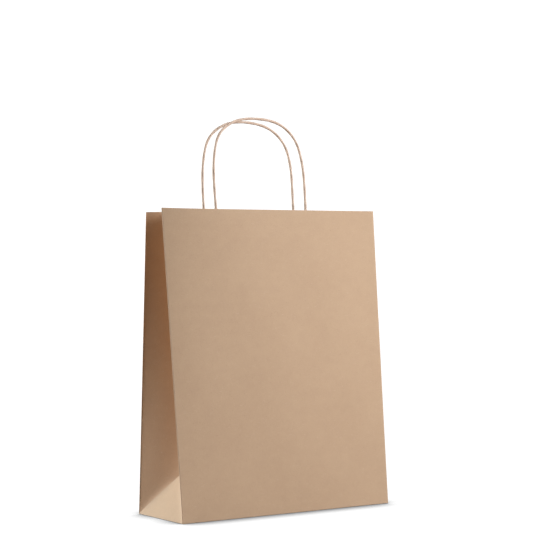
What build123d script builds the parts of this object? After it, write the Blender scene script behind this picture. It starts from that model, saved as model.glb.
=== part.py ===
from build123d import *
from math import acos, cos, degrees, pi, radians, sin, tan
import os

# A kraft paper gift bag with two twisted paper handles, standing with its mouth drawn part shut.
# Millimetres, +Z up, origin at the middle of the bottom, front panel towards -Y.
# Each creased facet of the paper is its own piece, hinged on its neighbour along the crease. The
# paper's inner face lies on the hinge lines and its thickness stands outwards, so facets fold
# towards each other without meeting.

# --- Driving dimensions ---------------------------------------------------------------------
bag_width = 250.0
bag_depth = 90.0
panel_height = 310.0
wall_lean = 4.6  # degrees that the front and back panels lean in towards the mouth
paper = 0.2
crease_inset = 0.2  # each facet stops this far short of its creases
centre_gap = 0.35  # each half gusset stops this far short of the middle of its side

flap_length = 55.0  # how far the bottom flaps reach in from their creases
floor_gap = 0.5  # between the glued bottom and the front and back panels
floor_side_gap = 1.2  # between the glued bottom and the gussets, which tilt in over it

seam_width = 16.0
seam_inset = 4.0  # the side seam's lap starts this far from the corner crease
seam_end_gap = 3.0  # and stops this far short of the mouth and of the bottom

cord_diameter = 3.0
cord_clearance = 0.05
handle_span = 108.0  # between the two legs of one handle
front_handle_shift = -9.0  # the handles are pasted a little off the middle
rear_handle_shift = -3.0
rear_handle_lean = 4.0  # degrees from upright, away from the mouth
hinge_rise = 2.0  # the cord bends this far above the panel's edge

patch_width = 150.0
patch_height = 40.0
cord_tail = 32.0  # how far each cord end runs down between the patch strips

# The crown of each handle in its own plane, from the left leg to the right one:
# (share of half the span, height above the bend).
front_crown = [
    (-1.02, 26.0),
    (-0.99, 53.0),
    (-0.86, 77.0),
    (-0.47, 90.5),
    (0.03, 93.0),
    (0.52, 89.0),
    (0.86, 73.0),
    (0.98, 50.0),
    (1.01, 25.0),
]
rear_crown = [
    (-1.01, 25.0),
    (-0.97, 52.0),
    (-0.84, 76.0),
    (-0.44, 91.0),
    (0.06, 93.0),
    (0.55, 87.5),
    (0.88, 71.0),
    (0.99, 48.0),
    (1.00, 24.0),
]

# --- Worked out from the driving dimensions --------------------------------------------------
cord_radius = cord_diameter / 2
half_width = bag_width / 2 - paper
half_depth = bag_depth / 2 - paper
half_gusset = half_depth - centre_gap
lean = radians(wall_lean)
cord_depth = paper + cord_clearance + cord_radius  # from a panel's inner face to the cord's middle
leg_start = 1.05 * cord_radius  # a handle's leg starts this far past its bend, clear of the ball
tail_end = 0.5 * cord_radius  # the tail stops this far short of the bend, inside the ball
handle_half_span = handle_span / 2


def save(piece, name):
    """Label a finished piece and write it as parts/name.step."""
    piece.label = name
    export_step(piece, f"parts/{name}.step")


# --- Where the creases run --------------------------------------------------------------------
def panel_plane(side):
    """The inner face of the front (side -1) or back (side +1) panel, its normal outwards.

    The plane's origin is the middle of the bottom crease and its Y runs up the panel.
    """
    return Plane(
        origin=(0, side * half_depth, 0),
        x_dir=(-side, 0, 0),
        z_dir=(0, side * cos(lean), sin(lean)),
    )


def gusset_fold():
    """How far the upper leaf has turned in from flat, in radians.

    Turning the leaf about the panel's leaning edge brings its far edge to the middle of the side.
    """
    return acos((half_gusset - panel_height * sin(lean)) / (half_gusset * cos(lean)))


def triangle_tilt():
    """How far the bottom triangle tilts in, in radians.

    Its diagonal crease keeps 45 degrees to the leaning edge of the panel.
    """
    return acos((1 - sin(lean)) / cos(lean))


def gusset_points(side_x, side_y):
    """The corners of one half gusset: foot, rim, inner rim and the triangle's tip.

    Foot and rim are the ends of the panel's edge. The inner rim and the tip are the ends of the
    gusset's middle crease. side_x is -1 for the left gusset, side_y is -1 for its front half.
    """
    fold = gusset_fold()
    tilt = triangle_tilt()
    foot = (side_x * half_width, side_y * half_depth, 0)
    rim_y = half_depth - panel_height * sin(lean)
    rim_z = panel_height * cos(lean)
    rim = (side_x * half_width, side_y * rim_y, rim_z)
    inner_rim = (
        side_x * (half_width - half_gusset * sin(fold)),
        side_y * centre_gap,
        rim_z - half_gusset * cos(fold) * sin(lean),
    )
    tip = (
        side_x * (half_width - half_gusset * sin(tilt)),
        side_y * centre_gap,
        half_gusset * cos(tilt),
    )
    return foot, rim, inner_rim, tip


# --- Body paper: panels and gussets -----------------------------------------------------------
def build_panel(name, side):
    """The front or back panel, one leaning rectangle of paper."""
    with BuildPart() as panel:
        with BuildSketch(panel_plane(side)):
            Rectangle(bag_width, panel_height, align=(Align.CENTER, Align.MIN))
        extrude(amount=paper)
    save(panel.part, name)


def build_facet(name, corners, side_x):
    """One flat three-cornered facet, short of its creases by crease_inset."""
    first, second, third = (Vector(*corner) for corner in corners)
    normal = (second - first).cross(third - first)
    outwards = normal if normal.X * side_x > 0 else -normal
    face = Plane(origin=first, x_dir=second - first, z_dir=outwards)
    outline = [face.to_local_coords(corner) for corner in (first, second, third)]
    with BuildPart() as facet:
        with BuildSketch(face):
            with BuildLine():
                Polyline(*outline, close=True)
            make_face()
            offset(amount=-crease_inset, kind=Kind.INTERSECTION)
        extrude(amount=paper)
    save(facet.part, name)


def build_gusset(side_name, side_x):
    """One side of the bag: two leaves for each half, and the triangle at its foot."""
    for half_name, side_y in (("front", -1), ("back", 1)):
        foot, rim, inner_rim, tip = gusset_points(side_x, side_y)
        build_facet(f"{side_name}_{half_name}_upper_leaf", (foot, rim, inner_rim), side_x)
        build_facet(f"{side_name}_{half_name}_lower_leaf", (foot, inner_rim, tip), side_x)
    tilt = triangle_tilt()
    front_foot = (side_x * half_width, -half_depth, 0)
    back_foot = (side_x * half_width, half_depth, 0)
    tip = (side_x * (half_width - half_depth * sin(tilt)), 0, half_depth * cos(tilt))
    build_facet(f"{side_name}_bottom_triangle", (front_foot, back_foot, tip), side_x)


def build_side_seam():
    """The glue lap that closes the tube, inside the back panel beside its right-hand corner."""
    height = panel_height - 2 * seam_end_gap
    across = -(half_width - seam_inset - seam_width / 2)
    with BuildPart() as seam:
        with BuildSketch(panel_plane(1)):
            with Locations((across, seam_end_gap)):
                Rectangle(seam_width, height, align=(Align.CENTER, Align.MIN))
        extrude(amount=-paper)
    save(seam.part, "side_seam_lap")


# --- Bottom: flaps folded in and glued, five layers from the outermost up ------------------------
def build_long_flap(name, side, layer):
    """The front or back flap, with its ends cut back at 45 degrees by the folded webs."""
    near = side * (half_depth - floor_gap)
    far = near - side * flap_length
    long_half = half_width - floor_side_gap
    short_half = long_half - flap_length
    outline = [(-long_half, near), (long_half, near), (short_half, far), (-short_half, far)]
    with BuildPart() as flap:
        with BuildSketch(Plane.XY.offset(layer * paper)):
            with BuildLine():
                Polyline(*outline, close=True)
            make_face()
        extrude(amount=paper)
    save(flap.part, name)


def build_web(name, side_x, side_y, layer):
    """The three-cornered web that doubles back between an end flap and a long flap."""
    corner = (side_x * (half_width - floor_side_gap), side_y * (half_depth - floor_gap))
    along = (corner[0] - side_x * flap_length, corner[1])
    across = (along[0], corner[1] - side_y * flap_length)
    with BuildPart() as web:
        with BuildSketch(Plane.XY.offset(layer * paper)):
            with BuildLine():
                Polyline(corner, along, across, close=True)
            make_face()
        extrude(amount=paper)
    save(web.part, name)


def build_end_flap(name, side_x, layer):
    """The end flap, folded in first, so it is the top layer inside the bag."""
    middle = side_x * (half_width - floor_side_gap - flap_length / 2)
    with BuildPart() as flap:
        with BuildSketch(Plane.XY.offset(layer * paper)):
            with Locations((middle, 0)):
                Rectangle(flap_length, 2 * (half_depth - floor_gap))
        extrude(amount=paper)
    save(flap.part, name)


def build_bottom():
    """All the pieces of the glued block bottom."""
    build_long_flap("bottom_front_flap", -1, 0)
    build_long_flap("bottom_back_flap", 1, 2)
    for side_name, side_x in (("left", -1), ("right", 1)):
        build_web(f"bottom_{side_name}_front_web", side_x, -1, 1)
        build_web(f"bottom_{side_name}_back_web", side_x, 1, 3)
        build_end_flap(f"bottom_{side_name}_flap", side_x, 4)


# --- Handles --------------------------------------------------------------------------------------
def patch_section_plane(side, shift, height):
    """The level cut across a panel at a height up it, facing down, its Y pointing out of the bag."""
    panel = panel_plane(side)
    origin = panel.from_local_coords(Vector(-side * shift, height, 0))
    return Plane(origin=origin, x_dir=panel.x_dir, z_dir=-panel.y_dir)


def build_backing_strip(name, side, shift):
    """The strip glued to the panel, behind the cord's ends."""
    with BuildPart() as strip:
        with BuildSketch(panel_plane(side)):
            with Locations((-side * shift, panel_height)):
                Rectangle(patch_width, patch_height, align=(Align.CENTER, Align.MAX))
        extrude(amount=-paper)
    save(strip.part, name)


def build_cover_strip(name, side, shift):
    """The strip over the cord's ends, flat on the backing strip and raised over each cord."""
    legs = [(-handle_half_span, -cord_depth), (handle_half_span, -cord_depth)]
    channel = cord_radius + cord_clearance
    bump = channel + paper
    down_to_backing = cord_depth - paper
    with BuildPart() as strip:
        with BuildSketch(patch_section_plane(side, shift, panel_height)):
            with Locations((0, -paper)):
                Rectangle(patch_width, paper, align=(Align.CENTER, Align.MAX))
            with Locations(*legs):
                Circle(bump)
                Rectangle(2 * bump, down_to_backing, align=(Align.CENTER, Align.MIN))
            with Locations(*legs):
                Circle(channel, mode=Mode.SUBTRACT)
                Rectangle(
                    2 * channel,
                    down_to_backing,
                    align=(Align.CENTER, Align.MIN),
                    mode=Mode.SUBTRACT,
                )
            with Locations((0, -paper)):
                Rectangle(
                    patch_width,
                    cord_depth + bump,
                    align=(Align.CENTER, Align.MAX),
                    mode=Mode.INTERSECT,
                )
        extrude(amount=patch_height)
    save(strip.part, name)


def build_cord_tails(name, side, shift):
    """The two cord ends between the strips, each with the ball on which its leg bends."""
    legs = [(-handle_half_span, -cord_depth), (handle_half_span, -cord_depth)]
    bend = patch_section_plane(side, shift, panel_height + hinge_rise)
    with BuildPart() as tails:
        with BuildSketch(bend.offset(tail_end)):
            with Locations(*legs):
                Circle(cord_radius)
        extrude(amount=cord_tail)
        with Locations(*[bend.from_local_coords(Vector(*leg, 0)) for leg in legs]):
            Sphere(cord_radius)
    save(tails.part, name)


def handle_plane(side, shift, handle_lean):
    """The plane of a handle, with its origin midway between the legs at their bend.

    handle_lean is in degrees, back from upright: towards the mouth at the front, away at the rear.
    """
    bend = patch_section_plane(side, shift, panel_height + hinge_rise)
    origin = bend.from_local_coords(Vector(0, -cord_depth, 0))
    tip = radians(handle_lean)
    return Plane(origin=origin, x_dir=(1, 0, 0), z_dir=(0, -cos(tip), sin(tip)))


def bend_radii(route):
    """The largest arc for each corner of a route: 0.45 of its shorter run over tan(half turn)."""
    points = [Vector(*point) for point in route]
    radii = []
    for before, corner, after in zip(points, points[1:], points[2:]):
        half_turn = radians((corner - before).get_angle(after - corner)) / 2
        shorter = min((corner - before).length, (after - corner).length)
        radii.append(0.45 * shorter / tan(half_turn))
    return radii


def build_handle(name, plane, crown):
    """One twisted handle, a plain round tube from leg to leg."""
    route = [(-handle_half_span, leg_start)]
    route += [(share * handle_half_span, height) for share, height in crown]
    route += [(handle_half_span, leg_start)]
    radii = bend_radii(route)
    with BuildPart() as handle:
        with BuildLine(plane) as path:
            FilletPolyline(*route, radius=radii)
        centre_line = path.wire()
        with BuildSketch(Plane(origin=centre_line @ 0, z_dir=centre_line % 0)):
            Circle(cord_radius)
        sweep()
    expected = pi * cord_radius**2 * centre_line.length
    print(name, "length", round(centre_line.length, 1), "radii", [round(r, 1) for r in radii])
    print(name, "volume over section times length", round(handle.part.volume / expected, 4))
    save(handle.part, name)


def build_handle_set(side_name, side, shift, handle_lean, crown):
    """A handle with everything that holds it to its panel."""
    build_backing_strip(f"{side_name}_handle_backing_strip", side, shift)
    build_cover_strip(f"{side_name}_handle_cover_strip", side, shift)
    build_cord_tails(f"{side_name}_handle_cord_tails", side, shift)
    build_handle(f"{side_name}_handle_cord", handle_plane(side, shift, handle_lean), crown)


os.makedirs("parts", exist_ok=True)
build_panel("front_panel", -1)
build_panel("back_panel", 1)
build_gusset("left", -1)
build_gusset("right", 1)
build_side_seam()
build_bottom()
build_handle_set("front", -1, front_handle_shift, wall_lean, front_crown)
build_handle_set("rear", 1, rear_handle_shift, rear_handle_lean, rear_crown)
print("mouth gap", round(2 * (half_depth - panel_height * sin(lean)), 1))
print("gusset fold", round(degrees(gusset_fold()), 2))
print("triangle tilt", round(degrees(triangle_tilt()), 2))
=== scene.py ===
"""A kraft paper gift bag with pleated sides, a glued block bottom and two twisted cord handles.

Metres, +Z up, front panel towards -Y. Every sheet of paper is a smooth surface of two parameters
with a real thickness, and every cord is a twisted section carried along a smooth route.
"""

import logging
import math
from dataclasses import dataclass
from enum import Enum
from typing import Any, Sequence

import bmesh
import bpy
import numpy as np
from mathutils import Matrix, Vector


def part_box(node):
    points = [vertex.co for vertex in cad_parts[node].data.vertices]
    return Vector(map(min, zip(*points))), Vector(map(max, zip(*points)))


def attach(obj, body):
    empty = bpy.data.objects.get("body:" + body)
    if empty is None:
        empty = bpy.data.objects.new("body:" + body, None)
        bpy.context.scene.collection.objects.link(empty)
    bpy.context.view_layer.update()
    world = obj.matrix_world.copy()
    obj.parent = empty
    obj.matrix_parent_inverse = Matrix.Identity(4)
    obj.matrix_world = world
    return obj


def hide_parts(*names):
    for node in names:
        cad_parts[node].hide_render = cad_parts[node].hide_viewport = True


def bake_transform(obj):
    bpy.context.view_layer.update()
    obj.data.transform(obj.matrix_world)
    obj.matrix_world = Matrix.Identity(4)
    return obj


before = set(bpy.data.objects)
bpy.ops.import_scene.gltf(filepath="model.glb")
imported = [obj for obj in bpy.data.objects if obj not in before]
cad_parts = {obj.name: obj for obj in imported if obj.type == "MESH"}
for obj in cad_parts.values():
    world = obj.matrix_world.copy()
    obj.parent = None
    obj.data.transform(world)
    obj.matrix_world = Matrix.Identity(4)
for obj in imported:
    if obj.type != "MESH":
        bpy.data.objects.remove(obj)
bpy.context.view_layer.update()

LOG = logging.getLogger("gift_bag")

Array = np.ndarray
Triple = tuple[float, float, float]
Colour = tuple[float, float, float, float]

MM = 0.001
PASTE = 0.03 * MM  # the paste between two glued papers
CREASE_INSET = 0.1 * MM  # how far each side crease is in from its wall's edge
FELT_DEPTH = 0.15 * MM  # how deep the finest relief of a finish is
WELD = 1e-6  # points closer than this are one point
SHARP_TURN = math.radians(50.0)  # edges that turn by more than this are shaded as sharp


class Coordinates(Enum):
    """What a paper pattern is laid out on."""

    SHEET = "sheet"  # the piece's own flat paper, from its UV map
    SOLID = "solid"  # the piece's place in the bag


class Half(Enum):
    """The two walls of the bag, and the half of each pleat that hangs on them."""

    FRONT = "front"
    BACK = "back"

    @property
    def sign(self) -> int:
        """-1 at the front and 1 at the back, along Y."""
        return -1 if self is Half.FRONT else 1

    @property
    def wall(self) -> str:
        """The body that carries this wall."""
        return f"{self.value}_wall"

    @property
    def handle(self) -> str:
        """The name of the handle on this wall."""
        return "front_handle" if self is Half.FRONT else "rear_handle"


class Side(Enum):
    """The two pleated sides of the bag."""

    LEFT = "left"
    RIGHT = "right"

    @property
    def sign(self) -> int:
        """-1 at the left and 1 at the right, along X."""
        return -1 if self is Side.LEFT else 1


# --- Arrays ---------------------------------------------------------------------------------------
def smooth(value: Array | float, low: float, high: float) -> Array:
    """The smooth step from 0 at low to 1 at high.

    Args:
        value: where to read the step.
        low: the end where the step is 0.
        high: the end where the step is 1.

    Returns:
        The cubic step, 3 t^2 - 2 t^3 of the clipped share t.
    """
    share = np.clip((value - low) / (high - low), 0.0, 1.0)
    return share * share * (3.0 - 2.0 * share)


def unit(vectors: Array) -> Array:
    """The vectors scaled to length 1 along their last axis."""
    return vectors / np.maximum(np.linalg.norm(vectors, axis=-1, keepdims=True), 1e-12)


def fade(distance: Array, width: float) -> Array:
    """1 at a distance of 0, dying away over a width as an exponential."""
    return np.exp(-distance / width)


def across_from(start: Array, end: Array, towards: Array) -> Array:
    """The direction square to a line, from the line towards a point.

    Args:
        start: one point on the line.
        end: another point on it.
        towards: the point on the side that is wanted.

    Returns:
        The unit direction: the way to the point, less its part along the line.
    """
    along = unit(end - start)
    away = towards - start
    return unit(away - along * (away @ along))


def sheet_normals(grid: Array) -> Array:
    """The unit normals of a grid of points, the cross product of its two directions.

    Args:
        grid: rows by columns of points. A first row drawn to one point is a pole.

    Returns:
        One normal for each point. A pole takes the mean normal of the row beside it.
    """
    across = np.gradient(grid, axis=1)
    up = np.gradient(grid, axis=0)
    normals = unit(np.cross(across, up))
    for row, beside in ((0, 1), (-1, -2)):
        if np.ptp(grid[row], axis=0).max() < 1e-9:
            normals[row] = unit(normals[beside].mean(axis=0))
    return normals


def grid_faces(rows: int, columns: int, first: int = 0, flip: bool = False) -> Array:
    """The four-sided faces between neighbouring points of a grid.

    Args:
        rows: the number of rows of points.
        columns: the number of points in a row.
        first: the number of the grid's first point.
        flip: whether the faces look the other way.

    Returns:
        One row of four point numbers for each face.
    """
    index = first + np.arange(rows * columns).reshape(rows, columns)
    corners = (index[:-1, :-1], index[:-1, 1:], index[1:, 1:], index[1:, :-1])
    faces = np.stack([corner.ravel() for corner in corners], axis=1)
    return faces[:, ::-1] if flip else faces


def rim_faces(rows: int, columns: int) -> Array:
    """The faces that close a sheet's cut edge, between its outer layer and its inner layer.

    Args:
        rows: the number of rows of points in each layer.
        columns: the number of points in a row.

    Returns:
        One row of four point numbers for each face, all round the edge.
    """
    index = np.arange(rows * columns).reshape(rows, columns)
    loop = np.concatenate([index[0, :], index[1:, -1], index[-1, -2::-1], index[-2::-1, 0]])
    here, after = loop[:-1], loop[1:]
    layer = rows * columns
    return np.stack([after, here, here + layer, after + layer], axis=1)


# --- Meshes ---------------------------------------------------------------------------------------
def new_mesh(
    name: str, points: Array, faces: list[list[int]], flat: Array, marks: dict[str, Array]
) -> bpy.types.Mesh:
    """Put points and faces into a mesh, with its flat coordinates and its marks.

    Args:
        name: the mesh's name.
        points: one row of three coordinates for each point.
        faces: the point numbers of each face.
        flat: the place of each point on the flat paper, in metres.
        marks: named numbers from 0 to 1, one for each point, that the finishes read.

    Returns:
        The new mesh.
    """
    mesh = bpy.data.meshes.new(name)
    mesh.from_pydata(points.tolist(), [], faces)
    corners = np.zeros(len(mesh.loops), np.int32)
    mesh.loops.foreach_get("vertex_index", corners)
    layer = mesh.uv_layers.new(name="paper")
    layer.data.foreach_set("uv", flat[corners].astype(np.float32).ravel())
    for mark, values in marks.items():
        attribute = mesh.attributes.new(mark, "FLOAT", "POINT")
        attribute.data.foreach_set("value", values.astype(np.float32).ravel())
    return mesh


def add_object(name: str, data: bpy.types.ID) -> bpy.types.Object:
    """Put a mesh, a light or a camera into the scene.

    Args:
        name: the object's name.
        data: what it holds.

    Returns:
        The new object, at the origin.
    """
    made = bpy.data.objects.new(name, data)
    bpy.context.scene.collection.objects.link(made)
    return made


def paper_sheet(
    name: str, grid: Array, flat: Array, wear: Array, thickness: float, outward: Array
) -> bpy.types.Object:
    """A closed sheet of paper: the grid moved half the thickness each way along its normals.

    Args:
        name: the piece's name.
        grid: the middle of the sheet, rows by columns of points.
        flat: the same points on the flat paper, in metres.
        wear: how worn each point is, from 0 to 1.
        thickness: the paper's thickness.
        outward: a direction on the outer side of the sheet.

    Returns:
        The new object.
    """
    rows, columns = grid.shape[:2]
    if float(sheet_normals(grid).reshape(-1, 3).mean(axis=0) @ outward) < 0:
        grid, flat, wear = grid[:, ::-1], flat[:, ::-1], wear[:, ::-1]
    normals = sheet_normals(grid) * (thickness / 2)
    points = np.concatenate([(grid + normals).reshape(-1, 3), (grid - normals).reshape(-1, 3)])
    faces = np.concatenate([
        grid_faces(rows, columns),
        grid_faces(rows, columns, first=rows * columns, flip=True),
        rim_faces(rows, columns),
    ])
    both = np.concatenate([flat.reshape(-1, 2)] * 2)
    marks = {"wear": np.concatenate([wear.ravel()] * 2)}
    mesh = new_mesh(name, points, faces.tolist(), both, marks)
    welded = bmesh.new()
    welded.from_mesh(mesh)
    bmesh.ops.remove_doubles(welded, verts=welded.verts, dist=WELD)
    welded.to_mesh(mesh)
    welded.free()
    mesh.shade_smooth()
    mesh.set_sharp_from_angle(angle=SHARP_TURN)
    return add_object(name, mesh)


# --- Shader graphs --------------------------------------------------------------------------------
class Signal:
    """A number in a shader graph. Arithmetic on it adds Math nodes."""

    def __init__(self, graph: "Graph", socket: bpy.types.NodeSocket) -> None:
        """Wrap one output socket of a graph."""
        self.graph = graph
        self.socket = socket

    def _math(self, operation: str, first: Any, second: Any) -> "Signal":
        """One Math node on two values."""
        node = self.graph.node("ShaderNodeMath", {"operation": operation}, {0: first, 1: second})
        return Signal(self.graph, node.outputs[0])

    def __add__(self, other: Any) -> "Signal":
        """The sum."""
        return self._math("ADD", self, other)

    __radd__ = __add__

    def __sub__(self, other: Any) -> "Signal":
        """The difference."""
        return self._math("SUBTRACT", self, other)

    def __rsub__(self, other: Any) -> "Signal":
        """The difference, the other way round."""
        return self._math("SUBTRACT", other, self)

    def __mul__(self, other: Any) -> "Signal":
        """The product."""
        return self._math("MULTIPLY", self, other)

    __rmul__ = __mul__

    def over(self, low: float, high: float) -> "Signal":
        """The smooth step from 0 at low to 1 at high.

        Args:
            low: the value where the step starts.
            high: the value where the step ends.

        Returns:
            The step, from a Map Range node.
        """
        node = self.graph.node(
            "ShaderNodeMapRange",
            {"interpolation_type": "SMOOTHSTEP"},
            {"Value": self, "From Min": low, "From Max": high},
        )
        return Signal(self.graph, node.outputs["Result"])


class Graph:
    """The shader nodes of one material, ending in one Principled shader."""

    def __init__(self, name: str, coordinates: Coordinates) -> None:
        """Start a material.

        Args:
            name: the material's name.
            coordinates: what its patterns are laid out on.
        """
        self.material = bpy.data.materials.new(name)
        self.material.use_nodes = True
        self.tree = self.material.node_tree
        self.tree.nodes.clear()
        self.shader = self.node("ShaderNodeBsdfPrincipled", {}, {})
        self.output = self.node(
            "ShaderNodeOutputMaterial", {}, {"Surface": self.shader.outputs["BSDF"]}
        )
        if coordinates is Coordinates.SHEET:
            source = self.node("ShaderNodeUVMap", {"uv_map": "paper"}, {})
            self.place = source.outputs["UV"]
        else:
            source = self.node("ShaderNodeTexCoord", {}, {})
            self.place = source.outputs["Object"]

    def node(self, kind: str, settings: dict[str, Any], values: dict[Any, Any]) -> bpy.types.Node:
        """Add a node.

        Args:
            kind: the node's type.
            settings: its properties, set first.
            values: for each input socket, a number, a colour, a Signal or a socket to link.

        Returns:
            The new node.
        """
        made = self.tree.nodes.new(kind)
        for key, setting in settings.items():
            setattr(made, key, setting)
        for key, value in values.items():
            if isinstance(value, Signal):
                value = value.socket
            if isinstance(value, bpy.types.NodeSocket):
                self.tree.links.new(value, made.inputs[key])
            else:
                made.inputs[key].default_value = value
        return made

    def noise(self, stretch: Sequence[float], detail: float, offset: float = 0.0) -> Signal:
        """A noise whose grains have their own size along each axis.

        Args:
            stretch: the grains in a metre along each of the three axes.
            detail: how many finer layers it has.
            offset: moves the pattern, so that two of the same size differ.

        Returns:
            The noise, from 0 to 1, mostly near a half.
        """
        scaled = self.node(
            "ShaderNodeMapping",
            {"vector_type": "POINT"},
            {"Vector": self.place, "Location": (offset, offset, offset), "Scale": tuple(stretch)},
        )
        made = self.node(
            "ShaderNodeTexNoise",
            {"noise_dimensions": "3D"},
            {"Vector": scaled.outputs["Vector"], "Scale": 1.0, "Detail": detail},
        )
        return Signal(self, made.outputs["Fac"])

    def mark(self, name: str) -> Signal:
        """A number that the mesh carries at each of its points."""
        node = self.node("ShaderNodeAttribute", {"attribute_name": name}, {})
        return Signal(self, node.outputs["Fac"])

    def mix(self, share: Signal | float, first: Any, second: Any) -> bpy.types.NodeSocket:
        """A colour between two colours.

        Args:
            share: 0 for the first colour, 1 for the second.
            first: a colour, or the socket of one.
            second: a colour, or the socket of one.

        Returns:
            The socket of the mixed colour.
        """
        made = self.node("ShaderNodeMix", {"data_type": "RGBA"}, {0: share, 6: first, 7: second})
        return made.outputs[2]

    def finish(
        self,
        body: bpy.types.NodeSocket,
        dull: Signal,
        height: Signal,
        relief: float,
        specular: float,
    ) -> bpy.types.Material:
        """Give the shader its colour, its roughness and its relief.

        Args:
            body: the colour.
            dull: the roughness.
            height: the height of the finest relief.
            relief: how strongly that relief shows.
            specular: how much the surface reflects.

        Returns:
            The finished material.
        """
        bump = self.node(
            "ShaderNodeBump", {}, {"Height": height, "Strength": relief, "Distance": FELT_DEPTH}
        )
        self.tree.links.new(body, self.shader.inputs["Base Color"])
        self.tree.links.new(dull.socket, self.shader.inputs["Roughness"])
        self.tree.links.new(bump.outputs["Normal"], self.shader.inputs["Normal"])
        self.shader.inputs["Specular IOR Level"].default_value = specular
        return self.material


def colour(red: float, green: float, blue: float) -> Colour:
    """A linear colour from its three parts."""
    return (red, green, blue, 1.0)


WHITE = colour(1.0, 1.0, 1.0)


@dataclass(frozen=True)
class Kraft:
    """Unbleached kraft paper: a felt of brown fibres, mottled, with dark and pale flecks."""

    name: str
    base: Colour = colour(0.548, 0.379, 0.237)
    deep: Colour = colour(0.494, 0.332, 0.206)
    pale: Colour = colour(0.640, 0.480, 0.345)
    bark: Colour = colour(0.270, 0.165, 0.095)
    relief: float = 0.22
    specular: float = 0.3
    coordinates: Coordinates = Coordinates.SHEET
    # The sizes of its patterns, as grains in a metre along each axis.
    clouds: Triple = (16, 16, 16)
    mottles: Triple = (85, 120, 85)
    fibres: Triple = (1500, 230, 230)
    cross_fibres: Triple = (260, 1700, 1700)
    flecks: Triple = (2300, 700, 700)
    straws: Triple = (420, 1900, 1900)

    def make(self) -> bpy.types.Material:
        """Build the finish.

        Returns:
            The material. Its colour, roughness and relief vary with the fibres.
        """
        graph = Graph(self.name, self.coordinates)
        cloud = graph.noise(self.clouds, 2.0)
        mottle = graph.noise(self.mottles, 4.0, offset=3.1)
        fibre = graph.noise(self.fibres, 3.0, offset=7.7)
        cross_fibre = graph.noise(self.cross_fibres, 3.0, offset=1.9)
        fleck = graph.noise(self.flecks, 2.0, offset=5.3).over(0.665, 0.72)
        straw = graph.noise(self.straws, 2.0, offset=9.4).over(0.655, 0.73)
        tone = cloud.over(0.3, 0.7) * 0.3 + mottle.over(0.25, 0.75) * 0.3
        tone = tone + (fibre * 0.5 + cross_fibre * 0.5).over(0.3, 0.7) * 0.4
        body = graph.mix(tone, self.deep, self.base)
        body = graph.mix(straw * 0.45, body, self.pale)
        body = graph.mix(fleck * 0.4, body, self.bark)
        if self.coordinates is Coordinates.SHEET:
            scuffed = graph.mark("wear") * (0.35 + mottle * 0.9)
            body = graph.mix(scuffed * 0.22, body, self.pale)
        dull = 0.70 + mottle * 0.16 + fleck * 0.06
        felt = fibre * 0.55 + cross_fibre * 0.45 + mottle * 0.5
        return graph.finish(body, dull, felt, self.relief, self.specular)


@dataclass(frozen=True)
class TwistedPaper:
    """A cord of kraft paper twisted up tight, with painted shade: pale on its ridges, darker down
    in the twist.
    """

    name: str
    ridge: Colour = colour(0.690, 0.520, 0.395)
    flank: Colour = colour(0.560, 0.395, 0.285)
    # seam is the painted shade at the bottom of the twist, and also the tone of the cord's dark
    # streaks.
    seam: Colour = colour(0.300, 0.185, 0.120)
    relief: float = 0.35
    specular: float = 0.35
    # The sizes of its patterns, as grains in a metre along each axis.
    streaks: Triple = (900, 90, 90)
    blotches: Triple = (60, 45, 60)
    grains: Triple = (2200, 900, 900)

    def make(self) -> bpy.types.Material:
        """Build the finish.

        Returns:
            The material. The mark "groove" is 1 at the bottom of the twist.
        """
        graph = Graph(self.name, Coordinates.SHEET)
        groove = graph.mark("groove")
        streak = graph.noise(self.streaks, 3.0)
        blotch = graph.noise(self.blotches, 3.0, offset=2.2)
        grain = graph.noise(self.grains, 3.0, offset=6.0)
        # Painted shade: the colour goes from ridge to flank to seam with the depth into the twist's
        # groove.
        tone = groove.over(0.05, 0.75) * 0.75 + blotch.over(0.35, 0.75) * 0.3
        body = graph.mix(tone, self.ridge, self.flank)
        body = graph.mix(groove.over(0.72, 1.0) * 0.7, body, self.seam)
        body = graph.mix(streak.over(0.55, 0.75) * 0.25, body, self.seam)
        dull = 0.62 + grain * 0.2
        return graph.finish(body, dull, streak * 0.7 + grain * 0.4, self.relief, self.specular)


@dataclass(frozen=True)
class Finishes:
    """The materials of the bag, made once and shared."""

    paper: bpy.types.Material
    pleat: bpy.types.Material
    bottom: bpy.types.Material
    strip: bpy.types.Material
    cord: bpy.types.Material

    @classmethod
    def make(cls) -> "Finishes":
        """Build every finish of the bag.

        Returns:
            The finishes.
        """
        return cls(
            paper=Kraft("kraft_sheet").make(),
            # Painted shade: the pleats are the same paper as the walls, given a more orange,
            # slightly darker copy of its colour for the warm shade between the folds.
            pleat=Kraft(
                "kraft_pleat_painted_shade",
                base=colour(0.560, 0.354, 0.212),
                deep=colour(0.505, 0.308, 0.182),
            ).make(),
            bottom=Kraft("kraft_bottom", coordinates=Coordinates.SOLID).make(),
            strip=Kraft(
                "kraft_strip",
                base=colour(0.575, 0.415, 0.290),
                deep=colour(0.490, 0.345, 0.232),
                relief=0.3,
            ).make(),
            cord=TwistedPaper("twisted_paper").make(),
        )


def dress(
    piece: bpy.types.Object, finish: bpy.types.Material, nodes: Sequence[str]
) -> bpy.types.Object:
    """Give a new piece its finish and say which nodes it stands for.

    Args:
        piece: the new piece.
        finish: its material.
        nodes: the nodes that it replaces.

    Returns:
        The same piece.
    """
    piece.data.materials.append(finish)
    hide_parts(*nodes)
    LOG.info("%s: %d faces for %s", piece.name, len(piece.data.polygons), ", ".join(nodes))
    return piece


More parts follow.
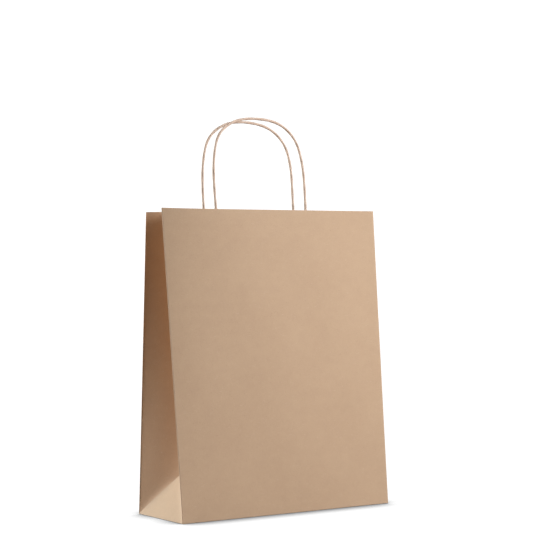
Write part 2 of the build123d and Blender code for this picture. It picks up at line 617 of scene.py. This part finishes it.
# --- The walls ------------------------------------------------------------------------------------
@dataclass(frozen=True)
class Wall:
    """The front or back sheet of the bag, which leans in from its foot to its rim.

    The sheet's parameters are x, the place across it, and h, the height up the flat paper.
    """

    half: Half
    paper: float = 0.2 * MM
    half_width: float = 124.9 * MM
    half_depth: float = 44.9 * MM
    height: float = 310.0 * MM
    lean: float = math.radians(4.6)
    fold: float = 0.5 * MM  # the radius of the creases round the sheet
    belly: float = 1.7 * MM
    left_draw: float = 10.8 * MM  # how far the left rim corner is drawn towards the back
    left_reach: float = 7.0  # how sharply that dies away from the corner
    right_draw: float = -3.3 * MM
    right_reach: float = 7.0
    left_lift: float = 1.0 * MM
    lift_reach: float = 8.0
    steps_across: int = 121
    steps_up: int = 151

    def share(self, x: Array) -> Array:
        """The place across the sheet, 0 at its left edge and 1 at its right edge."""
        return np.clip((x + self.half_width) / (2 * self.half_width), 0.0, 1.0)

    def drawn(self, x: Array) -> Array:
        """How far the rim is drawn towards the back: one power of the share at each corner.

        Args:
            x: places across the sheet.

        Returns:
            The distances along Y.
        """
        across = self.share(x)
        left = self.left_draw * (1 - across) ** self.left_reach
        return left + self.right_draw * across**self.right_reach

    def middle(self, x: Array, h: Array) -> Array:
        """The middle of the sheet.

        A flat wall that leans in, plus a belly, the sine of the share across times a parabola up,
        plus a few long soft ripples, plus the drawing back of the rim's corners, which grows
        with the height.

        Args:
            x: places across the sheet.
            h: heights up the flat paper, the same shape as x.

        Returns:
            The points, in an array with one more axis.
        """
        across = self.share(x)
        up = h / self.height
        swell = np.sin(np.pi * across) * np.clip(4 * up * (1 - up), 0.0, None)
        ripple = 0.30 * np.sin(2 * np.pi * (2.1 * across + 0.8 * up + 0.15 * self.half.sign))
        ripple += 0.22 * np.sin(2 * np.pi * (0.9 * across - 1.7 * up + 0.4))
        ripple *= MM * np.sin(np.pi * across) ** 0.8 * np.sin(np.pi * np.clip(up, 0, 1)) ** 0.7
        out = self.half.sign * (self.belly * swell + ripple)
        y = self.half.sign * (self.half_depth - h * math.sin(self.lean)) + out
        y += self.drawn(x) * np.clip(up, 0, 2) ** 1.15
        lift = self.left_lift * (1 - across) ** self.lift_reach * np.clip(up, 0, 2) ** 3
        z = h * math.cos(self.lean) + lift
        return np.stack([x + 0 * h, y, z], axis=-1)

    def inward(self, x: Array, h: Array) -> Array:
        """The direction into the bag, from the cross product of two small steps on the sheet.

        Args:
            x: places across the sheet.
            h: heights up the flat paper.

        Returns:
            One unit direction for each place.
        """
        step = 0.5 * MM
        across = self.middle(x + step, h) - self.middle(x - step, h)
        up = self.middle(x, h + step) - self.middle(x, h - step)
        return unit(np.cross(across, up)) * self.half.sign

    def at_depth(self, x: Array, h: Array, depth: Array | float) -> Array:
        """Points a depth into the bag from the middle of the sheet.

        Args:
            x: places across the sheet.
            h: heights up the flat paper.
            depth: how far in, one number or one for each point.

        Returns:
            The points.
        """
        depths = np.broadcast_to(np.asarray(depth, float), np.shape(x))
        return self.middle(x, h) + self.inward(x, h) * depths[..., None]

    def side_edge(self, side: Side, shares: Array) -> Array:
        """The crease down one side of the sheet.

        Args:
            side: which crease.
            shares: places up it, 0 at the foot and 1 at the rim.

        Returns:
            The points, half a fold radius in from the sheet.
        """
        x = np.full_like(shares, side.sign * (self.half_width - CREASE_INSET))
        return self.at_depth(x, shares * self.height, 0.5 * self.fold)

    def build(self, finish: bpy.types.Material) -> bpy.types.Object:
        """The sheet itself, with its side creases and its foot turned in on a small radius.

        Past the flat part, the place across goes as the sine of the turn and the depth as one
        minus its cosine.

        Args:
            finish: the paper.

        Returns:
            The piece, on its wall's body.
        """
        turn = np.radians(np.linspace(15, 105, 7))
        bend_out, bend_in = self.fold * np.sin(turn), self.fold * (1 - np.cos(turn))
        flat_half = self.half_width - self.fold
        flat_x = np.linspace(-flat_half, flat_half, self.steps_across)
        x = np.concatenate([-(flat_half + bend_out)[::-1], flat_x, flat_half + bend_out])
        depth_x = np.concatenate([bend_in[::-1], 0 * flat_x, bend_in])
        foot = turn[:6][::-1]
        flat_h = np.linspace(self.fold, self.height, self.steps_up)
        h = np.concatenate([self.fold * (1 - np.sin(foot)), flat_h])
        depth_h = np.concatenate([self.fold * (1 - np.cos(foot)), 0 * flat_h])
        columns, rows = np.meshgrid(x, h)
        depth = np.meshgrid(depth_x, depth_h)
        grid = self.at_depth(columns, rows, depth[0] + depth[1])
        flat = np.stack([columns + 0.3 * (1 + self.half.sign), rows], axis=-1)
        edge = self.half_width - np.abs(columns)
        wear = fade(edge, 1.2 * MM) + 0.8 * fade(rows, 1.2 * MM)
        wear += 0.5 * fade(self.height - rows, 0.8 * MM)
        piece = paper_sheet(
            f"{self.half.value}_sheet", grid, flat, np.clip(wear, 0, 1), self.paper,
            np.array([0.0, self.half.sign, 0.0]),
        )
        dress(piece, finish, [f"{self.half.value}_panel"])
        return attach(piece, self.half.wall)


# --- The pleated sides ----------------------------------------------------------------------------
@dataclass(frozen=True)
class Pleat:
    """One side of the bag: two half pleats that fold in, and the triangle at their foot."""

    side: Side
    walls: dict[Half, Wall]
    tip_in: float = 26.0 * MM  # how far in the triangle's tip leans
    tip_up: float = 43.5 * MM
    rim_in: float = 41.0 * MM  # how far in the middle crease is at the rim
    rim_back: float = 0.0
    rim_up: float = 304.8 * MM
    puff: float = 1.5 * MM
    pinch: float = 1.6 * MM  # how far each half runs past the middle crease at the rim
    half_depth: float = 44.9 * MM
    soften: float = 1.5 * MM  # how far the diagonal creases stand out of their folds
    soft_width: float = 3.6 * MM
    diagonal_reach: float = 0.22  # how far the rows of a half pleat rise from its diagonal crease
    fold: float = 0.5 * MM  # the radius under the triangle's base
    paper: float = 0.2 * MM
    flat_start: float = 0.14  # where a half pleat starts on the flat paper
    flat_half: float = 0.045  # its width there
    flat_height: float = 0.31  # and its height

    @property
    def half_width(self) -> float:
        """Half the bag's width at the creases."""
        return self.walls[Half.FRONT].half_width - CREASE_INSET

    @property
    def tip(self) -> Array:
        """The triangle's tip, where the middle crease starts."""
        return np.array([self.side.sign * (self.half_width - self.tip_in), 0.0, self.tip_up])

    @property
    def inner_rim(self) -> Array:
        """The top of the middle crease."""
        x = self.side.sign * (self.half_width - self.rim_in)
        return np.array([x, self.rim_back, self.rim_up])

    def foot(self, half: Half) -> Array:
        """The bottom corner beside a wall."""
        return self.walls[half].side_edge(self.side, np.zeros(1))[0]

    def outward(self, half: Half) -> Array:
        """The mean outward direction of a half pleat.

        Args:
            half: which half pleat.

        Returns:
            The unit direction.
        """
        edge = self.walls[half].side_edge(self.side, np.array([0.5]))[0]
        crease = (self.tip + self.inner_rim) / 2
        normal = unit(np.cross(crease - edge, self.inner_rim - self.tip))
        return normal if normal[0] * self.side.sign > 0 else -normal

    def triangle_outward(self) -> Array:
        """The outward direction of the bottom triangle.

        Returns:
            The unit direction.
        """
        front, back = self.foot(Half.FRONT), self.foot(Half.BACK)
        normal = unit(np.cross(back - front, self.tip - front))
        return normal if normal[0] * self.side.sign > 0 else -normal

    def out_of_fold(self, half: Half) -> Array:
        """The direction in which a diagonal crease stands out, between its two faces' normals."""
        return unit(self.outward(half) + self.triangle_outward())

    def creases(self, half: Half, up: Array) -> tuple[Array, Array]:
        """Points on the wall's crease and on the middle crease, at the same shares up them."""
        edge = self.walls[half].side_edge(self.side, up.ravel()).reshape(*up.shape, 3)
        return edge, self.tip + (self.inner_rim - self.tip) * up[..., None]

    def split(self, half: Half, up: Array) -> Array:
        """Where the straight line from the foot to the top of the middle crease crosses each row.

        The two ends of a row stand off that line by two signed distances, and the crossing is the
        first of them over their difference.

        Args:
            half: which half pleat.
            up: the share up the creases.

        Returns:
            The share across at the crossing, 0 at the foot and 1 at the rim.
        """
        edge, crease = self.creases(half, up)
        foot = self.foot(half)
        aside = across_from(foot, self.inner_rim, self.tip)
        first, second = (edge - foot) @ aside, (crease - foot) @ aside
        return np.clip(first / (first - second), 0.0, 1.0)

    def surface(self, half: Half, across: Array, up: Array) -> Array:
        """A half pleat, ruled from the wall's crease to the middle crease.

        A straight mix of the two creases, a little past the middle one so that the two halves
        pinch together there, plus a puff that is the product of two sines, plus a rise beside the
        diagonal crease that dies away with distance, so the fold there is soft.

        Args:
            half: which half pleat.
            across: 0 at the wall and 1 at the middle crease.
            up: 0 at the diagonal crease and 1 at the rim.

        Returns:
            The points.
        """
        edge, crease = self.creases(half, up)
        reach = across + self.pinch / self.half_depth * up * across**6
        points = edge + (crease - edge) * reach[..., None]
        swell = self.puff * np.sin(np.pi * across) * np.sin(np.pi * up) ** 0.7
        wave = 0.5 * MM * np.sin(np.pi * across) * np.sin(3 * np.pi * up) * (1 - up)
        points = points + self.outward(half) * (swell + wave)[..., None]
        away = up * self.diagonal_reach
        rise = self.soften * np.sin(np.pi * across) ** 0.7 * fade(away, self.soft_width)
        return points + self.out_of_fold(half) * rise[..., None]

    def build_leaf(self, half: Half, level: str, finish: bpy.types.Material) -> bpy.types.Object:
        """The upper or lower part of a half pleat, split along the line from its foot.

        Args:
            half: which half pleat.
            level: "upper", beside the wall, or "lower", beside the middle crease.
            finish: the paper.

        Returns:
            The piece, its place fixed into its points.
        """
        spread, up = np.meshgrid(np.linspace(0, 1, 41), np.linspace(0, 1, 121) ** 1.6)
        split = self.split(half, up)
        across = split * spread if level == "upper" else split + (1 - split) * spread
        grid = self.surface(half, across, up)
        flat_across = self.flat_start + self.flat_half * across
        flat_up = self.flat_half * across * (1 - up) + self.flat_height * up
        flat = np.stack([flat_across, flat_up], axis=-1)
        flat[..., 0] += 0.1 * (1 + half.sign) + 0.4 * (1 + self.side.sign)
        middle = fade((1 - across) * self.flat_half, 1.2 * MM)
        diagonal = 0.5 * fade(up * 0.25, 2 * MM)
        rim = 0.5 * fade((1 - up) * 0.3, 0.8 * MM)
        wear = np.clip(middle + diagonal + rim, 0, 1)
        name = f"{self.side.value}_{half.value}_{level}"
        piece = paper_sheet(f"{name}_pleat", grid, flat, wear, self.paper, self.outward(half))
        dress(piece, finish, [f"{name}_leaf"])
        foot, rim_corner = self.walls[half].side_edge(self.side, np.array([0.0, 1.0]))
        if level == "upper":
            return self.hinge(
                piece, half.wall, name, (foot, rim_corner), self.inner_rim, (0.0, 7 * MM)
            )
        upper = f"{self.side.value}_{half.value}_upper"
        return self.hinge(piece, upper, name, (foot, self.inner_rim), self.tip, (0.8 * MM, 6 * MM))

    @staticmethod
    def hinge(
        piece: bpy.types.Object,
        fixed: str,
        moving: str,
        line: tuple[Array, Array],
        towards: Array,
        band: tuple[float, float],
    ) -> bpy.types.Object:
        """Fix a piece's place into its points. The band of a bend beside a crease line is worked
        out, but the piece is not bent.

        Args:
            piece: the piece, in place.
            fixed: not used.
            moving: not used.
            line: two points on the crease.
            towards: a point on the moving side.
            band: how far from the crease the bend starts and ends.

        Returns:
            The same piece.
        """
        away = across_from(*line, towards)
        start, end = (line[0] + away * distance for distance in band)
        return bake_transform(piece)

    def build_triangle(self, finish: bpy.types.Material) -> bpy.types.Object:
        """The triangle at the foot of the pleat, its base turned under on a small radius.

        Straight lines from the base to the tip, plus the rise of each diagonal crease.

        Args:
            finish: the paper.

        Returns:
            The piece, on the triangle's body.
        """
        front, back = self.foot(Half.FRONT), self.foot(Half.BACK)
        across, up = np.meshgrid(np.linspace(0, 1, 61), np.linspace(0, 1, 41))
        base = front + (back - front) * across[..., None]
        grid = base + (self.tip - base) * up[..., None]
        profile = np.sin(np.pi * np.clip(up, 0, 1)) ** 0.7
        width = (back - front)[1] * (1 - up) * math.sin(math.pi / 4)
        for half, share in ((Half.FRONT, across), (Half.BACK, 1 - across)):
            rise = self.soften * profile * fade(share * width, self.soft_width)
            grid = grid + self.out_of_fold(half) * rise[..., None]
        turn = np.radians(np.linspace(80, 15, 5))[:, None]
        clear = 1.1 * self.fold  # keeps the turned edge off the floor
        under = np.repeat(grid[:1], len(turn), axis=0)
        under[..., 0] -= self.side.sign * self.fold * (1 - np.cos(turn))
        under[..., 2] -= self.fold * np.sin(turn) - clear
        grid[0, :, 2] += clear
        grid = np.concatenate([under, grid])[::-1]
        up = np.concatenate([0 * under[..., 0], up])[::-1]
        across = np.concatenate([across[: len(turn)] * 0 + across[0], across])[::-1]
        flat = np.stack([0.14 + 0.09 * across + 1.6 * self.side.sign, 0.045 * up], axis=-1)
        rim = np.minimum(across, 1 - across) * (1 - up) * 0.064
        wear = 0.5 * fade(rim, 2 * MM) + 0.9 * fade(up * self.flat_half, 1 * MM)
        name = f"{self.side.value}_bottom_fold"
        piece = paper_sheet(
            name, grid, flat, np.clip(wear, 0, 1), self.paper, self.triangle_outward()
        )
        dress(piece, finish, [f"{self.side.value}_bottom_triangle"])
        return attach(piece, f"{self.side.value}_triangle")

    def build(self, finishes: Finishes) -> None:
        """Build the two half pleats, upper and lower, and the triangle.

        Args:
            finishes: the bag's finishes.
        """
        for half in Half:
            for level in ("upper", "lower"):
                # finishes.pleat carries the painted shade of the pleats.
                self.build_leaf(half, level, finishes.pleat)
        self.build_triangle(finishes.paper)


# --- The handles ----------------------------------------------------------------------------------
@dataclass(frozen=True)
class Twist:
    """A cord of paper twisted into two ridges."""

    radius: float = 1.5 * MM
    ridges: int = 2
    pitch: float = 34.0 * MM  # one full turn of a ridge
    groove: float = 0.24
    around: int = 30

    def tube(self, name: str, line: Array, lift: Array, rounded: bool) -> bpy.types.Object:
        """Carry the twisted section along a line.

        The radius falls to its grooves as a power of the cosine of the ridges' angle, which turns
        with the distance along the line, and swells and thins slowly with long sines.

        Args:
            name: the piece's name.
            line: evenly spaced points of the middle of the cord, all in one plane.
            lift: the direction square to that plane.
            rounded: whether the ends are domed.

        Returns:
            The piece.
        """
        steps = np.linalg.norm(np.diff(line, axis=0), axis=1)
        distance = np.concatenate([[0.0], np.cumsum(steps)])[:, None]
        tangent = unit(np.gradient(line, axis=0))
        square = unit(np.broadcast_to(lift, line.shape))
        beside = unit(np.cross(tangent, square))
        angle = np.linspace(0, 2 * np.pi, self.around, endpoint=False)[None, :]
        spin = 2 * np.pi * distance / self.pitch + 0.5 * np.sin(distance / (17 * MM))
        wave = np.abs(np.cos(self.ridges * (angle - spin) / 2))
        depth = (1 - wave**0.55) ** 1.2
        slow = 1 - 0.05 * (1 + np.sin(distance / (9 * MM) + 1.3)) * 0.7
        slow = slow - 0.03 * (1 + np.sin(distance / (23 * MM)))
        radius = self.radius * slow * (1 - self.groove * depth)
        if rounded:
            ends = np.minimum(distance, distance[-1] - distance) / self.radius
            radius = radius * np.sqrt(np.clip(1 - (1 - np.clip(ends, 0, 1)) ** 2, 1e-6, 1))
        ring = beside[:, None] * np.cos(angle)[..., None]
        ring = ring + square[:, None] * np.sin(angle)[..., None]
        points = (line[:, None] + ring * radius[..., None]).reshape(-1, 3)
        rows = len(line)
        index = np.arange(rows * self.around).reshape(rows, self.around)
        after = np.roll(index, -1, axis=1)
        corners = (index[:-1], index[1:], after[1:], after[:-1])
        faces = np.stack([corner.ravel() for corner in corners], axis=1)
        first, last = len(points), len(points) + 1
        points = np.concatenate([points, line[:1], line[-1:]])
        caps = np.concatenate([
            np.stack([np.full(self.around, first), index[0], after[0]], axis=1),
            np.stack([np.full(self.around, last), after[-1], index[-1]], axis=1),
        ])
        flat = np.stack([0 * distance + angle * self.radius, distance + 0 * angle], axis=-1)
        flat = np.concatenate([flat.reshape(-1, 2), [[0.0, 0.0], [0.0, float(distance[-1, 0])]]])
        # The mark "groove" carries the painted shade of the cord's finish.
        groove = np.concatenate([depth.ravel() / depth.max(), [1.0, 1.0]])
        mesh = new_mesh(name, points, faces.tolist() + caps.tolist(), flat, {"groove": groove})
        mesh.shade_smooth()
        return add_object(name, mesh)


def smooth_route(name: str, route: Sequence[Sequence[float]], spacing: float) -> Array:
    """Evenly spaced points of the smooth curve that a route's points control.

    Args:
        name: a name for the curve while it is read.
        route: the control points.
        spacing: about how far apart the points are wanted.

    Returns:
        The points, one row each.
    """
    curve = bpy.data.curves.new(name, "CURVE")
    curve.dimensions = "3D"
    curve.resolution_u = 24
    spline = curve.splines.new("NURBS")
    spline.points.add(len(route) - 1)
    for point, place in zip(spline.points, route):
        point.co = (*place, 1.0)
    spline.order_u = 3
    spline.use_endpoint_u = True
    holder = bpy.data.objects.new(name, curve)
    mesh = bpy.data.meshes.new_from_object(holder)
    read = np.zeros(len(mesh.vertices) * 3)
    mesh.vertices.foreach_get("co", read)
    bpy.data.objects.remove(holder)
    bpy.data.meshes.remove(mesh)
    points = read.reshape(-1, 3)
    distance = np.concatenate([[0.0], np.cumsum(np.linalg.norm(np.diff(points, axis=0), axis=1))])
    wanted = np.linspace(0, distance[-1], int(round(distance[-1] / spacing)) + 1)
    return np.stack([np.interp(wanted, distance, points[:, axis]) for axis in range(3)], axis=1)


@dataclass(frozen=True)
class HandleSet:
    """One handle, the tails of its cord, and the two paper strips that hold them."""

    wall: Wall
    crown: Sequence[tuple[float, float]]  # (share of half the span, height above the bend)
    length: float
    centre: float
    span: float
    lean: float
    rise: float = 2.0 * MM  # the cord bends this far above the rim
    tail: float = 32.0 * MM
    strip_width: float = 150.0 * MM
    strip_height: float = 40.0 * MM
    twist: Twist = Twist()

    @property
    def cord_depth(self) -> float:
        """How far the middle of the cord is from the middle of the wall's paper."""
        return 1.5 * self.wall.paper + 0.08 * MM + self.twist.radius

    def leg(self, sign: int, h: float) -> Array:
        """The middle of one leg of the cord, at a height up the wall's paper."""
        x = np.array(self.centre + sign * self.span / 2)
        return self.wall.at_depth(x, np.array(h), self.cord_depth)

    def build_cord(self, finish: bpy.types.Material) -> bpy.types.Object:
        """The handle itself, from its left leg over its crown to its right leg.

        Args:
            finish: the twisted paper.

        Returns:
            The piece, on the handle's body.
        """
        left, right = (self.leg(sign, self.wall.height + self.rise) for sign in (-1, 1))
        up = np.array([0.0, math.sin(self.lean), math.cos(self.lean)])
        middle, reach = (left + right) / 2, (right - left) / 2
        route = [left] + [middle + reach * share + up * h for share, h in self.crown] + [right]
        name = self.wall.half.handle
        line = smooth_route(f"{name}_route", [tuple(point) for point in route], 0.4 * MM)
        piece = self.twist.tube(f"{name}_twist", line, np.cross(reach, up), rounded=True)
        dress(piece, finish, [f"{name}_cord"])
        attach(piece, name)
        return piece

    def build_tails(self, finish: bpy.types.Material) -> bpy.types.Object:
        """The two ends of the cord, straight down the wall from the bend.

        Args:
            finish: the twisted paper.

        Returns:
            The piece, on the wall's body.
        """
        top, bottom = self.wall.height + self.rise + self.twist.radius, self.wall.height - self.tail
        heights = np.linspace(bottom, top, 90)
        tails = []
        for sign in (-1, 1):
            x = np.full_like(heights, self.centre + sign * self.span / 2)
            line = self.wall.at_depth(x, heights, self.cord_depth)
            tails.append(self.twist.tube("tail", line, np.array([0.0, 1.0, 0.0]), rounded=True))
        joined = bmesh.new()
        for tail in tails:
            joined.from_mesh(tail.data)
        name = self.wall.half.handle
        piece = tails[0]
        piece.name = piece.data.name = f"{name}_tails"
        joined.to_mesh(piece.data)
        joined.free()
        bpy.data.objects.remove(tails[1])
        dress(piece, finish, [f"{name}_cord_tails"])
        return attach(piece, self.wall.half.wall)

    def build_strip(self, cover: bool, finish: bpy.types.Material) -> bpy.types.Object:
        """The strip behind the cord's ends, or the one over them.

        The cover's depth rises over each cord as a bell curve of the distance from it, and comes
        down past the ends of the tails.

        Args:
            cover: whether this is the strip over the cord.
            finish: the strip's paper.

        Returns:
            The piece, on the wall's body.
        """
        paper, height = self.wall.paper, self.wall.height
        x, h = np.meshgrid(
            self.centre + np.linspace(-0.5, 0.5, 301 if cover else 61) * self.strip_width,
            np.linspace(height - self.strip_height, height - 0.6 * MM, 61),
        )
        depth = np.full_like(x, paper + PASTE)
        if cover:
            depth += paper + PASTE
            over = self.cord_depth + self.twist.radius + 0.7 * paper - depth[0, 0]
            tails = smooth(h, height - self.tail - 5 * MM, height - self.tail + 1 * MM)
            for sign in (-1, 1):
                beside = x - (self.centre + sign * self.span / 2)
                depth += over * np.exp(-((beside / (2.7 * MM)) ** 2)) * tails
            lip = 0.25 * MM * (1 + np.sin(x / (11 * MM))) * smooth(h, height - 5 * MM, height)
            depth += lip
        grid = self.wall.at_depth(x, h, depth)
        flat = np.stack([x + 2.3 + 0.4 * cover, h], axis=-1)
        edge = np.minimum(self.strip_width / 2 - np.abs(x - self.centre), h - h.min())
        wear = fade(edge, 0.8 * MM)
        kind = "cover" if cover else "backing"
        handle = self.wall.half.handle
        piece = paper_sheet(
            f"{handle}_{kind}", grid, flat, wear, paper, np.array([0.0, -self.wall.half.sign, 0.0])
        )
        dress(piece, finish, [f"{handle}_{kind}_strip"])
        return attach(piece, self.wall.half.wall)

    def build(self, finishes: Finishes) -> None:
        """Build the cord, its tails and both strips.

        Args:
            finishes: the bag's finishes.
        """
        self.build_cord(finishes.cord)
        self.build_tails(finishes.cord)
        self.build_strip(False, finishes.strip)
        self.build_strip(True, finishes.strip)


# --- The seam and the bottom ----------------------------------------------------------------------
@dataclass(frozen=True)
class Closures:
    """The glued lap down the back, and the folded layers of the bottom."""

    wall: Wall

    def build_seam(self, finish: bpy.types.Material) -> bpy.types.Object:
        """The lap inside the back sheet, where its node stands.

        Args:
            finish: the paper.

        Returns:
            The piece, on the back wall.
        """
        low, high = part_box("side_seam_lap")
        x, h = np.meshgrid(
            np.linspace(low.x, high.x, 25),
            np.linspace(low.z, high.z, 121) / math.cos(self.wall.lean),
        )
        grid = self.wall.at_depth(x, h, self.wall.paper + PASTE)
        flat = np.stack([x + 3.1, h], axis=-1)
        edge = np.minimum(x - low.x, high.x - x)
        piece = paper_sheet(
            "seam_lap", grid, flat, fade(edge, 0.8 * MM), self.wall.paper,
            np.array([0.0, -1.0, 0.0]),
        )
        dress(piece, finish, ["side_seam_lap"])
        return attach(piece, self.wall.half.wall)

    @staticmethod
    def dress_bottom(finish: bpy.types.Material) -> None:
        """Give every layer of the bottom the kraft finish.

        Args:
            finish: the paper.
        """
        for name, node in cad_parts.items():
            if name.startswith("bottom_"):
                node.data.materials.clear()
                node.data.materials.append(finish)
                LOG.info("%s: finished", name)


# --- The studio -----------------------------------------------------------------------------------
@dataclass(frozen=True)
class Softbox:
    """A square soft light."""

    name: str
    place: Triple
    aim: Triple
    size: float
    power: float
    tint: Triple = (0.97, 1.0, 1.07)

    def build(self) -> None:
        """Hang the light, facing its aim."""
        lamp = bpy.data.lights.new(self.name, "AREA")
        lamp.shape = "SQUARE"
        lamp.size = self.size
        lamp.energy = self.power
        lamp.color = self.tint
        holder = add_object(self.name, lamp)
        towards = Vector(self.aim) - Vector(self.place)
        holder.matrix_world = (
            Matrix.Translation(self.place) @ towards.to_track_quat("-Z", "Y").to_matrix().to_4x4()
        )


@dataclass(frozen=True)
class Studio:
    """A pale floor, a pale surround, soft lights and the camera."""

    ambient: float = 0.025
    floor_bounce: Triple = (0.37, 0.295, 0.245)
    floor_glow: float = 1.08  # how bright the open floor looks
    # contact_tone is the tone of a painted contact shadow in the floor's glow.
    contact_tone: float = 0.15  # how bright the floor looks right against the bag
    contact_reach: float = 0.040
    lights: tuple[Softbox, ...] = (
        Softbox("left_back", (-1.62, 1.50, 0.34), (0.0, 0.0, 0.1), 1.0, 90.0, (0.93, 1.02, 1.09)),
        Softbox("key", (0.68, -1.1, 0.60), (0.02, 0.0, 0.18), 0.5, 16.2),
        Softbox("high_right", (0.42, -0.62, 0.72), (0.1, 0.0, 0.27), 0.3, 1.9),
        Softbox("overhead", (0.0, 0.0, 1.6), (0.0, 0.0, 0.0), 0.7, 6.5),
    )
    camera_place: Triple = (-0.93055, -1.45756, 0.24060)
    camera_yaw: float = math.radians(32.955)
    camera_pitch: float = math.radians(-0.046)
    camera_roll: float = math.radians(-0.593)
    camera_lens: float = 109.02

    def build(self) -> None:
        """Build the floor, the surround, the lights and the camera."""
        self.build_floor()
        self.build_surround()
        for light in self.lights:
            light.build()
        self.build_camera()

    def build_floor(self) -> None:
        """A wide flat floor just under the bag. The camera sees it as a glow with a painted contact
        shadow; the bag sees a plain warm floor.
        """
        half, low = 6.0, -0.3 * MM
        corners = [(-half, -half, low), (half, -half, low), (half, half, low), (-half, half, low)]
        mesh = bpy.data.meshes.new("floor")
        mesh.from_pydata(corners, [], [(0, 1, 2, 3)])
        floor = add_object("floor", mesh)
        graph = Graph("pale_floor", Coordinates.SOLID)
        # Painted contact shadow: the glow is darkened where ambient occlusion finds the bag close
        # by.
        open_sky = graph.node(
            "ShaderNodeAmbientOcclusion", {"samples": 12}, {"Distance": self.contact_reach}
        )
        shade = 1 - Signal(graph, open_sky.outputs["AO"]).over(0.40, 0.97)
        dark = self.contact_tone / self.floor_glow
        tone = graph.mix(shade, WHITE, colour(dark, dark, dark))
        seen = graph.node("ShaderNodeEmission", {}, {"Color": tone, "Strength": self.floor_glow})
        path = graph.node("ShaderNodeLightPath", {}, {})
        either = graph.node(
            "ShaderNodeMixShader",
            {},
            {0: path.outputs["Is Camera Ray"], 1: graph.shader.outputs[0], 2: seen.outputs[0]},
        )
        graph.shader.inputs["Base Color"].default_value = colour(*self.floor_bounce)
        graph.shader.inputs["Roughness"].default_value = 0.9
        graph.shader.inputs["Specular IOR Level"].default_value = 0.0
        graph.tree.links.new(either.outputs[0], graph.output.inputs["Surface"])
        mesh.materials.append(graph.material)

    def build_surround(self) -> None:
        """A surround that looks white and lights the bag softly."""
        world = bpy.data.worlds.new("surround")
        world.use_nodes = True
        tree = world.node_tree
        tree.nodes.clear()
        seen = tree.nodes.new("ShaderNodeBackground")
        seen.inputs["Strength"].default_value = 1.15
        light = tree.nodes.new("ShaderNodeBackground")
        light.inputs["Strength"].default_value = self.ambient
        for background in (seen, light):
            background.inputs["Color"].default_value = WHITE
        path = tree.nodes.new("ShaderNodeLightPath")
        mix = tree.nodes.new("ShaderNodeMixShader")
        output = tree.nodes.new("ShaderNodeOutputWorld")
        tree.links.new(path.outputs["Is Camera Ray"], mix.inputs[0])
        tree.links.new(light.outputs[0], mix.inputs[1])
        tree.links.new(seen.outputs[0], mix.inputs[2])
        tree.links.new(mix.outputs[0], output.inputs["Surface"])
        bpy.context.scene.world = world
        bpy.context.scene.view_settings.view_transform = "Standard"

    def build_camera(self) -> None:
        """The camera, from its place, its heading, its tilt and its roll."""
        heading, tilt, roll = self.camera_yaw, self.camera_pitch, self.camera_roll
        ahead = Vector((
            math.sin(heading) * math.cos(tilt), math.cos(heading) * math.cos(tilt), -math.sin(tilt)
        ))
        level = Vector((math.cos(heading), -math.sin(heading), 0.0))
        upright = level.cross(ahead)
        right = level * math.cos(roll) + upright * math.sin(roll)
        up = upright * math.cos(roll) - level * math.sin(roll)
        turned = Matrix((right, up, -ahead)).transposed().to_4x4()
        lens = bpy.data.cameras.new("camera")
        lens.lens = self.camera_lens
        lens.sensor_width = 36.0
        camera = add_object("camera", lens)
        camera.matrix_world = Matrix.Translation(self.camera_place) @ turned
        bpy.context.scene.camera = camera


# The crowns of the handles, in metres: (share of half the span, height above the bend).
FRONT_CROWN = (
    (-1.02, 0.0260), (-0.99, 0.0530), (-0.86, 0.0770), (-0.47, 0.0905), (0.03, 0.0930),
    (0.52, 0.0890), (0.86, 0.0730), (0.98, 0.0500), (1.01, 0.0250),
)
REAR_CROWN = (
    (-1.01, 0.0250), (-0.97, 0.0520), (-0.84, 0.0760), (-0.44, 0.0910), (0.06, 0.0930),
    (0.55, 0.0875), (0.88, 0.0710), (0.99, 0.0480), (1.00, 0.0240),
)


def main() -> None:
    """Build the bag, then the studio."""
    logging.basicConfig(level=logging.INFO, format="%(name)s %(message)s")
    finishes = Finishes.make()
    front = Wall(Half.FRONT)
    back = Wall(
        Half.BACK, left_draw=3.5 * MM, left_reach=6.0, right_draw=0.0, left_lift=-2.2 * MM,
        lift_reach=3.5,
    )
    walls = {Half.FRONT: front, Half.BACK: back}
    for wall in walls.values():
        wall.build(finishes.paper)
    Pleat(Side.LEFT, walls, rim_back=3.5 * MM).build(finishes)
    Pleat(Side.RIGHT, walls, rim_in=38.5 * MM, rim_back=-0.8 * MM).build(finishes)
    HandleSet(
        front, FRONT_CROWN, length=0.249, centre=-12.7 * MM, span=107.8 * MM, lean=math.radians(4.6)
    ).build(finishes)
    HandleSet(
        back, REAR_CROWN, length=0.2475, centre=-5.0 * MM, span=110.0 * MM, lean=math.radians(4.0)
    ).build(finishes)
    closures = Closures(back)
    closures.build_seam(finishes.paper)
    closures.dress_bottom(finishes.bottom)
    Studio().build()


if __name__ == "__main__":
    main()
